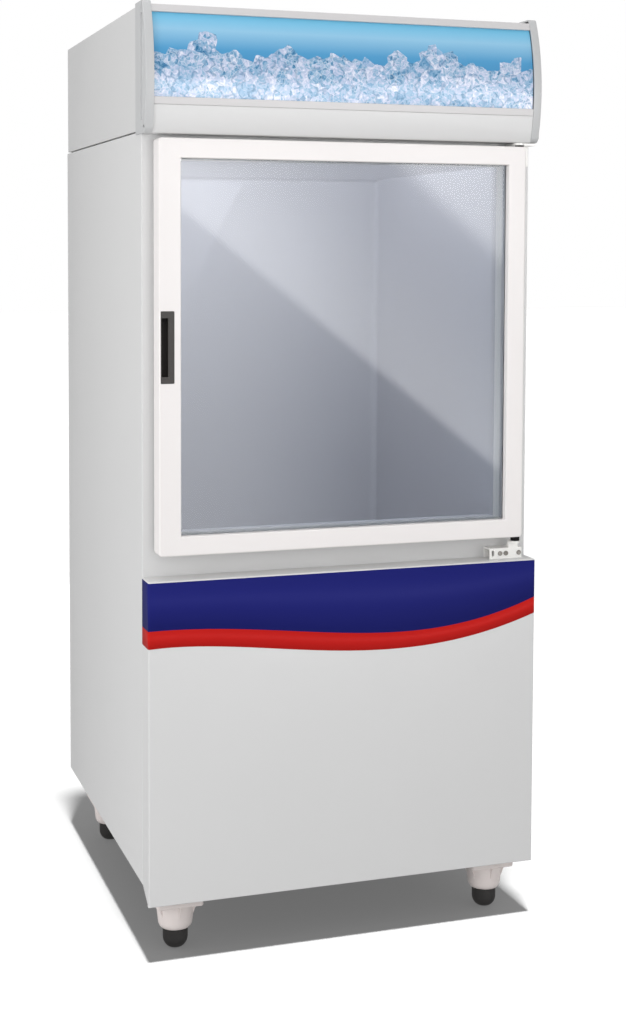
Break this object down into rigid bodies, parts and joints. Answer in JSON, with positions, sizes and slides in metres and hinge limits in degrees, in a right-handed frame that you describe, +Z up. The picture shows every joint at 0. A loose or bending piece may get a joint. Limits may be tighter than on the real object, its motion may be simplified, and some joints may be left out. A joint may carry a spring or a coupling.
{
  "type": "ice merchandiser freezer",
  "caption": "Upright ice freezer with a glass door in a white frame, a curved light-box header, a banded kick apron and a condensing unit on levelling feet.",
  "frame": {"origin": "on the floor under the middle of the bounding box", "axes": "+Z up; the door and the header face -Y; +X to the right as one looks at the door"},
  "size_m": [0.755, 0.77, 1.706],
  "materials": {
    "painted_sheet": "satin",
    "galvanised_sheet": "satin",
    "foam": "matte",
    "liner_plastic": "gloss",
    "white_plastic": "satin",
    "copper": "satin",
    "coated_wire": "gloss",
    "dark_steel": "satin",
    "grey_plastic": "satin",
    "black_rubber": "matte",
    "blue_film": "satin",
    "red_film": "satin",
    "black_enamel": "gloss",
    "zinc_steel": "satin",
    "black_plastic": "satin",
    "bare_aluminium": "satin",
    "red_plastic": "gloss",
    "grey_white_plastic": "satin",
    "graphic_film": "satin",
    "lamp_glass": "gloss",
    "door_frame_white": "satin",
    "door_glass": "gloss",
    "grey_gasket": "matte",
    "dark_handle": "satin"
  },
  "bodies": {
    "cabinet": {"side_panel_left": "painted_sheet", "side_panel_right": "painted_sheet", "back_panel": "painted_sheet", "top_panel": "painted_sheet", "front_frame": "painted_sheet", "underfloor_panel": "galvanised_sheet", "foam_insulation": "foam", "liner": "liner_plastic", "breaker_trim": "white_plastic", "evaporator_coil": "copper", "drain_fitting": "white_plastic", "floor_rack": "coated_wire", "base_frame": "dark_steel", "foot_sockets": "grey_plastic", "apron": "painted_sheet", "band_blue": "blue_film", "band_red": "red_film", "rear_grille": "painted_sheet", "compressor": "black_enamel", "compressor_grommets": "black_rubber", "compressor_bolts": "zinc_steel", "starter_box": "black_plastic", "drip_tray": "black_plastic", "condenser_fins": "bare_aluminium", "condenser_coil": "copper", "condenser_ends": "galvanised_sheet", "fan_shroud": "black_plastic", "fan_motor": "dark_steel", "filter_drier": "copper", "refrigerant_lines": "copper", "control_box": "black_plastic", "power_inlet": "black_plastic", "header_housing": "painted_sheet", "header_cap_left": "grey_white_plastic", "header_cap_right": "grey_white_plastic", "header_graphic": "graphic_film", "graphic_strips": "white_plastic", "header_valance": "painted_sheet", "lamp_tube": "lamp_glass", "lamp_holders": "white_plastic", "lamp_driver": "galvanised_sheet", "hinge_brackets": "zinc_steel", "screws": "zinc_steel"},
    "door": {"door_stile_handle": "door_frame_white", "door_stile_hinge": "door_frame_white", "door_rails": "door_frame_white", "door_glass_outer": "door_glass", "door_glass_inner": "door_glass", "glass_spacer": "bare_aluminium", "glazing_bead": "white_plastic", "door_gasket": "grey_gasket", "door_handle": "dark_handle", "hinge_bushings": "black_plastic"},
    "fan": {"fan_rotor": "white_plastic"},
    "knob": {"thermostat_knob": "black_plastic"},
    "rocker": {"lamp_rocker": "red_plastic"},
    "foot_front_left": {"level_foot_front_left": "black_rubber"},
    "foot_front_right": {"level_foot_front_right": "black_rubber"},
    "foot_rear_left": {"level_foot_rear_left": "black_rubber"},
    "foot_rear_right": {"level_foot_rear_right": "black_rubber"}
  },
  "joints": [
    {"name": "door_hinge", "type": "hinge", "parent": "cabinet", "child": "door", "pos_m": [0.338, -0.373, 1.1], "axis": [0, 0, 1], "range_deg": [0, 110]},
    {"name": "fan_spin", "type": "hinge", "parent": "cabinet", "child": "fan", "pos_m": [-0.1125, 0.2848, 0.278], "axis": [0, 1, 0], "continuous": true},
    {"name": "thermostat_turn", "type": "hinge", "parent": "cabinet", "child": "knob", "pos_m": [0.285, 0.374, 0.458], "axis": [0, 1, 0], "range_deg": [0, 270]},
    {"name": "lamp_switch_rock", "type": "hinge", "parent": "cabinet", "child": "rocker", "pos_m": [0.285, 0.3678, 0.408], "axis": [-1, 0, 0], "range_deg": [0, 18]},
    {"name": "foot_front_left_height", "type": "slide", "parent": "cabinet", "child": "foot_front_left", "axis": [0, 0, -1], "range_m": [0, 0.02]},
    {"name": "foot_front_right_height", "type": "slide", "parent": "cabinet", "child": "foot_front_right", "axis": [0, 0, -1], "range_m": [0, 0.02]},
    {"name": "foot_rear_left_height", "type": "slide", "parent": "cabinet", "child": "foot_rear_left", "axis": [0, 0, -1], "range_m": [0, 0.02]},
    {"name": "foot_rear_right_height", "type": "slide", "parent": "cabinet", "child": "foot_rear_right", "axis": [0, 0, -1], "range_m": [0, 0.02]}
  ]
}
